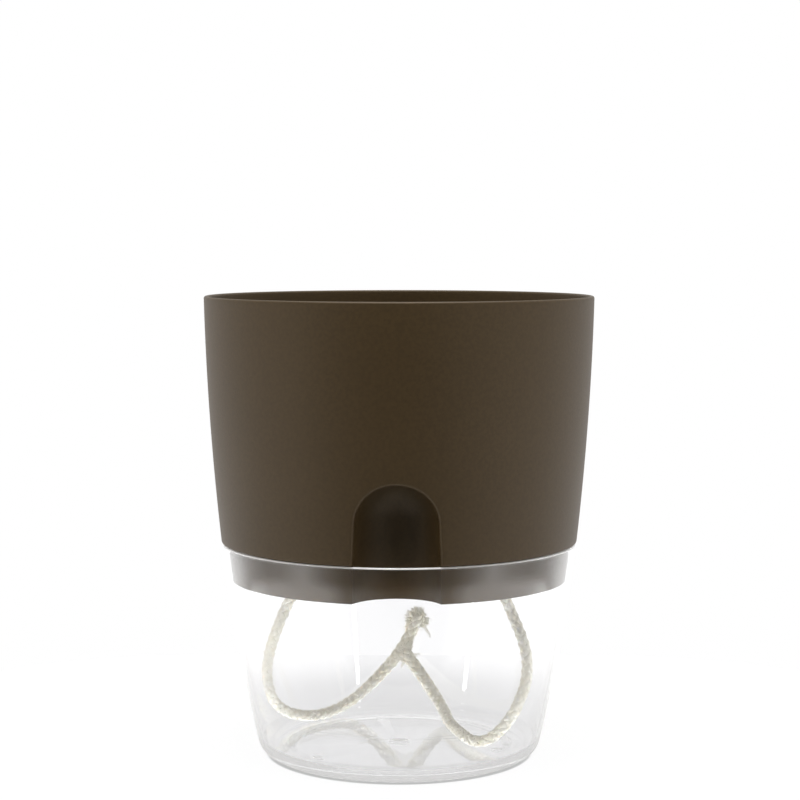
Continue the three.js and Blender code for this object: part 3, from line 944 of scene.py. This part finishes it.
def add_fuzz(threads, line, chance, count):
    """Short loose fibres that stand off the rope."""
    frames = carried_frames(line)
    for _ in range(count):
        i = chance.randrange(2, len(line) - 2)
        u, v = frames[i]
        forward = (line[i + 1] - line[i]).normalized()
        turn = chance.uniform(0, 2 * math.pi)
        out = math.cos(turn) * u + math.sin(turn) * v
        side = -math.sin(turn) * u + math.cos(turn) * v
        start = line[i] + out * FUZZ_START * MM
        lean = forward * chance.uniform(*FUZZ_LEAN) + side * chance.uniform(*FUZZ_SWAY)
        lift = chance.uniform(*FUZZ_LIFT) * MM
        run = chance.uniform(*FUZZ_RUN) * MM
        fibre = []
        for k in range(FUZZ_STEPS + 1):
            t = k / FUZZ_STEPS
            fibre.append(start + lean * run * t + out * lift * math.sin(FUZZ_CURL * t))
        threads.fibre(fibre, chance.uniform(*FUZZ_RADIUS) * MM)


def frayed_end(name, line, brush, wisps, chance):
    """The loose yarns and fibres at the end of a tail."""
    threads = Threads()
    frames = carried_frames(line)
    end = line[-1]
    heart = end + Vector(BRUSH_HEART) * MM
    edges = [end + Vector(p) * MM for p in brush]
    in_brush = BRUSH_YARNS + BRUSH_FIBRES
    for k in range(in_brush + WISP_FIBRES * len(wisps)):
        i = len(line) - 1 - chance.randrange(*BRUSH_ROOTS)
        u, v = frames[i]
        start = line[i] + (u * chance.uniform(*ROOT_SPREAD) + v * chance.uniform(*ROOT_SPREAD)) * MM
        stray = Vector((chance.gauss(0, 1), chance.gauss(0, 1), chance.gauss(0, 1))) * BRUSH_STRAY * MM
        j = chance.randrange(len(edges) - 1)
        edge = edges[j].lerp(edges[j + 1], chance.random())
        thickness, taper, elbow, reach = LOOSE_YARN if k < BRUSH_YARNS else LOOSE_FIBRE
        radius = chance.uniform(*thickness) * MM
        bend, last = heart.lerp(edge, elbow), heart.lerp(edge, chance.uniform(*reach))
        if k >= in_brush:
            turn, tip = wisps[k % len(wisps)]
            bend, last = end + Vector(turn) * MM, end + Vector(tip) * MM
        bend, last = bend + stray / 2, last + stray
        fibre = []
        for step in range(BRUSH_STEPS + 1):
            t = step / BRUSH_STEPS
            fibre.append(start.lerp(bend, t).lerp(bend.lerp(last, t), t))
        threads.fibre(fibre, radius, taper)
    return threads.piece(name)


def make_tail(side, route, brush, wisps, seed):
    """One tail of the wick, from its hole to its frayed end."""
    chance = random.Random(seed)
    name = "left" if side < 0 else "right"
    start = Vector((side * WICK_HOLE_X, 0, SPIGOT_Z - WICK_REST_GAP))
    drop = start - Vector((0, 0, WICK_DROP))
    line = smooth_line([start, drop, *(Vector(p) * MM for p in route)])
    threads = Threads()
    lay_rope(threads, line, chance, loose_end=True)
    add_fuzz(threads, line, chance, TAIL_FUZZ)
    rope = threads.piece(f"wick_rope_{name}")
    fray = frayed_end(f"wick_fray_{name}", line, brush, wisps, chance)
    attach(rope, "planter")
    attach(fray, "planter")
    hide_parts(f"wick_tail_{name}")
    return rope, fray


def make_bridge():
    """The wick's stretch inside the pot: out of one hole, across the floor and into the other."""
    chance = random.Random(BRIDGE_SEED)
    bend_z = POT_FLOOR_Z + WICK_RISE
    rest_z = POT_FLOOR_Z + WICK_REST_GAP + WICK_DIAMETER / 2
    half = [Vector((WICK_HOLE_X, 0, SPIGOT_Z))]
    for degrees in BRIDGE_TURN:
        angle = math.radians(degrees)
        x = WICK_HOLE_X - WICK_BEND + WICK_BEND * math.cos(angle)
        half.append(Vector((x, 0, bend_z + WICK_BEND * math.sin(angle))))
    half.append(Vector((WICK_HOLE_X - BRIDGE_SAG * WICK_BEND, 0, rest_z)))
    other = [Vector((-p.x, p.y, p.z)) for p in reversed(half)]
    line = smooth_line([*half, Vector((0, 0, rest_z)), *other])
    threads = Threads()
    lay_rope(threads, line, chance)
    add_fuzz(threads, line, chance, BRIDGE_FUZZ)
    rope = threads.piece("wick_rope_bridge")
    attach(rope, "planter")
    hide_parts("wick_bridge")
    return rope


# Materials. Scales of a pattern are how often it comes in a metre.

# Brown moulding
BROWN_DARK = (0.034, 0.0205, 0.0065, 1)
BROWN_LIGHT = (0.040, 0.0245, 0.0085, 1)
BROWN_GRAIN_SCALE = 2400
BROWN_DRIFT_SCALE = 38
BROWN_ROUGHNESS = (0.46, 0.6)
BROWN_GRAIN_DEPTH = 0.06 * MM
FLECK_SCALE = 900
FLECK_SPAN = (0.3, 0.7)  # of the noise, from the darkest flecks to the lightest
FLECK_DEPTH = 0.1  # how much darker and lighter they are

# Clear moulding
CLEAR_GRAIN_SCALE = 900
CLEAR_DRIFT_SCALE = 30
CLEAR_ROUGHNESS = (0.0, 0.008)
CLEAR_DRIFT_DEPTH = 0.3 * MM
RIM_MATT = 0.75  # how matt the tank's rim is
RIM_MATT_RUN = 0.2 * MM  # the height in which it gets so
RIM_FROST = (0.9, 0.9, 0.9, 1)
TRAPPED_DEPTH = 2  # mirrored this often inside the clear wall, light counts as trapped in it
# a painted glow that the wall shows in place of that trapped light
PAINTED_TRAPPED_GLOW = (0.66, 0.655, 0.65, 1)
PASSED_LIGHT = (0.93, 0.935, 0.935, 1)  # what is left of soft light behind one surface

# Cotton
COTTON_DARK = (0.86, 0.81, 0.66, 1)
COTTON_LIGHT = (1, 0.99, 0.93, 1)
COTTON_PATCH_SCALE = 420
COTTON_FIBRE_SCALE = (26, 1800, 1)  # once round a strand, and in a metre along it
COTTON_SHADE = (0.75, 1.3)  # from the darkest fibres to the lightest
COTTON_FIBRE_DEPTH = 0.12 * MM


def new_material(name):
    material = bpy.data.materials.new(name)
    material.use_nodes = True
    tree = material.node_tree
    return material, tree, tree.nodes["Principled BSDF"]


def tinted(tree, source, output, first, last):
    """A colour from first to last as another value goes from 0 to 1."""
    node = add_node(tree, "ShaderNodeMix", data_type="RGBA")
    set_inputs(node, {"A": first, "B": last})
    link(tree, source, output, node, "Factor")
    return node


def shaded_colour(tree, colour, shade):
    """One pair's colour times another pair's value."""
    node = add_node(tree, "ShaderNodeMix", data_type="RGBA", blend_type="MULTIPLY")
    node.inputs["Factor"].default_value = 1
    link(tree, *colour, node, "A")
    link(tree, *shade, node, "B")
    return node


def add_bump(tree, shader, source, output, strength, distance):
    bump = add_node(tree, "ShaderNodeBump")
    set_inputs(bump, {"Strength": strength, "Distance": distance})
    link(tree, source, output, bump, "Height")
    link(tree, bump, "Normal", shader, "Normal")


def moulded_grain():
    """Shared by both mouldings: a fine even grain and a slow unevenness over the whole piece."""
    group = bpy.data.node_groups.new("moulded_grain", "ShaderNodeTree")
    for name, way in (
        ("Grain Scale", "INPUT"), ("Drift Scale", "INPUT"), ("Grain", "OUTPUT"), ("Drift", "OUTPUT"),
    ):
        group.interface.new_socket(name, in_out=way, socket_type="NodeSocketFloat")
    given = add_node(group, "NodeGroupInput")
    output = add_node(group, "NodeGroupOutput")
    place = add_node(group, "ShaderNodeTexCoord")
    for scale, result, detail in (("Grain Scale", "Grain", 2), ("Drift Scale", "Drift", 3)):
        noise = add_node(group, "ShaderNodeTexNoise")
        noise.inputs["Detail"].default_value = detail
        link(group, place, "Object", noise, "Vector")
        link(group, given, scale, noise, "Scale")
        link(group, noise, "Fac", output, result)
    return group


def add_group(tree, group, values):
    node = add_node(tree, "ShaderNodeGroup", node_tree=group)
    set_inputs(node, values)
    return node


def brown_plastic(grain):
    """Matt brown moulding with a fine spark-eroded texture and faint flecks."""
    material, tree, shader = new_material("matt_brown_plastic")
    marks = add_group(tree, grain, {"Grain Scale": BROWN_GRAIN_SCALE, "Drift Scale": BROWN_DRIFT_SCALE})
    flecks = add_group(tree, grain, {"Grain Scale": FLECK_SCALE})
    colour = tinted(tree, marks, "Drift", BROWN_DARK, BROWN_LIGHT)
    shade = mapped(tree, flecks, "Grain", *FLECK_SPAN, 1 - FLECK_DEPTH, 1 + FLECK_DEPTH)
    flecked = shaded_colour(tree, (colour, "Result"), (shade, "Result"))
    link(tree, flecked, "Result", shader, "Base Color")
    rough = mapped(tree, marks, "Grain", 0, 1, *BROWN_ROUGHNESS, even=True)
    link(tree, rough, "Result", shader, "Roughness")
    set_inputs(shader, {"Specular IOR Level": 0.45, "Specular Tint": (1, 0.86, 0.7, 1)})
    add_bump(tree, shader, marks, "Grain", 0.25, BROWN_GRAIN_DEPTH)
    return material


def clear_plastic(grain):
    """Polished clear moulding with a matt rim. Soft light passes straight through all but the rim. Rays
    mirrored twice inside it see a painted grey glow, in place of the light the wall would guide.
    """
    material, tree, shader = new_material("clear_polished_plastic")
    marks = add_group(tree, grain, {"Grain Scale": CLEAR_GRAIN_SCALE, "Drift Scale": CLEAR_DRIFT_SCALE})
    set_inputs(shader, {"Base Color": (0.986, 0.985, 0.99, 1), "IOR": 1.49, "Transmission Weight": 1})
    rough = mapped(tree, marks, "Grain", 0, 1, *CLEAR_ROUGHNESS, even=True)
    link(tree, rough, "Result", shader, "Roughness")
    add_bump(tree, shader, marks, "Drift", 0.04, CLEAR_DRIFT_DEPTH)
    parts = split_place(tree, "Object")
    rim_start = TANK_HEIGHT - TANK_RIM_ROUND
    matt = mapped(tree, parts, "Z", rim_start, rim_start + RIM_MATT_RUN, 0, RIM_MATT)
    frost = add_node(tree, "ShaderNodeBsdfDiffuse")
    frost.inputs["Color"].default_value = RIM_FROST
    surface = mixed_shader(tree, (matt, "Result"), (shader, "BSDF"), (frost, "BSDF"))
    path = add_node(tree, "ShaderNodeLightPath")
    # painted glow: once a ray has been mirrored this often, the surface glows grey instead of mirroring on
    trapped = math_node(tree, "GREATER_THAN", (path, "Glossy Depth"), TRAPPED_DEPTH - 0.5)
    glow = add_node(tree, "ShaderNodeEmission")
    glow.inputs["Color"].default_value = PAINTED_TRAPPED_GLOW
    guided = mixed_shader(tree, (trapped, "Value"), (surface, "Shader"), (glow, "Emission"))
    passing = add_node(tree, "ShaderNodeBsdfTransparent")
    passing.inputs["Color"].default_value = PASSED_LIGHT
    dimmed = mixed_shader(tree, (matt, "Result"), (passing, "BSDF"), (frost, "BSDF"))
    soft_light = math_node(tree, "MAXIMUM", (path, "Is Shadow Ray"), (path, "Is Diffuse Ray"))
    mix = mixed_shader(tree, (soft_light, "Value"), (guided, "Shader"), (dimmed, "Shader"))
    link(tree, mix, "Shader", tree.nodes["Material Output"], "Surface")
    return material


def cotton():
    """Natural cotton: off-white, with fine fibres that run along the yarns."""
    material, tree, shader = new_material("natural_cotton")
    place = add_node(tree, "ShaderNodeUVMap", uv_map="threads")
    stretch = add_node(tree, "ShaderNodeMapping")
    stretch.inputs["Scale"].default_value = COTTON_FIBRE_SCALE
    link(tree, place, "UV", stretch, "Vector")
    fibres = add_node(tree, "ShaderNodeTexNoise")
    set_inputs(fibres, {"Scale": 1, "Detail": 4})
    link(tree, stretch, "Vector", fibres, "Vector")
    whole = add_node(tree, "ShaderNodeTexCoord")
    patches = add_node(tree, "ShaderNodeTexNoise")
    patches.inputs["Scale"].default_value = COTTON_PATCH_SCALE
    link(tree, whole, "Object", patches, "Vector")
    tint = tinted(tree, patches, "Fac", COTTON_DARK, COTTON_LIGHT)
    shade = mapped(tree, fibres, "Fac", 0, 1, *COTTON_SHADE, even=True)
    colour = shaded_colour(tree, (tint, "Result"), (shade, "Result"))
    link(tree, colour, "Result", shader, "Base Color")
    set_inputs(shader, {
        "Roughness": 0.9,
        "Subsurface Weight": 0.2,
        "Subsurface Radius": (1, 0.9, 0.75),
        "Subsurface Scale": 0.3 * MM,
        "Sheen Weight": 0.25,
        "Sheen Roughness": 0.5,
    })
    add_bump(tree, shader, fibres, "Fac", 0.5, COTTON_FIBRE_DEPTH)
    return material


# The object, with the camera and the free tails of the wick first

add_camera()
wick = [
    *make_tail(-1, LEFT_TAIL, LEFT_BRUSH, LEFT_WISPS, LEFT_SEED),
    *make_tail(1, RIGHT_TAIL, RIGHT_BRUSH, RIGHT_WISPS, RIGHT_SEED),
    make_bridge(),
]
cotton_finish = cotton()
for piece in wick:
    piece.data.materials.append(cotton_finish)

shared_grain = moulded_grain()
pot = make_pot()
pot.data.materials.clear()
pot.data.materials.append(brown_plastic(shared_grain))
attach(pot, "planter")
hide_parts("planter_pot")

tank = make_tank()
tank.data.materials.clear()
tank.data.materials.append(clear_plastic(shared_grain))
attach(tank, "tank")
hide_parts("water_tank")

add_board()
add_world()
add_lamps()
bpy.context.scene.view_settings.view_transform = "Standard"
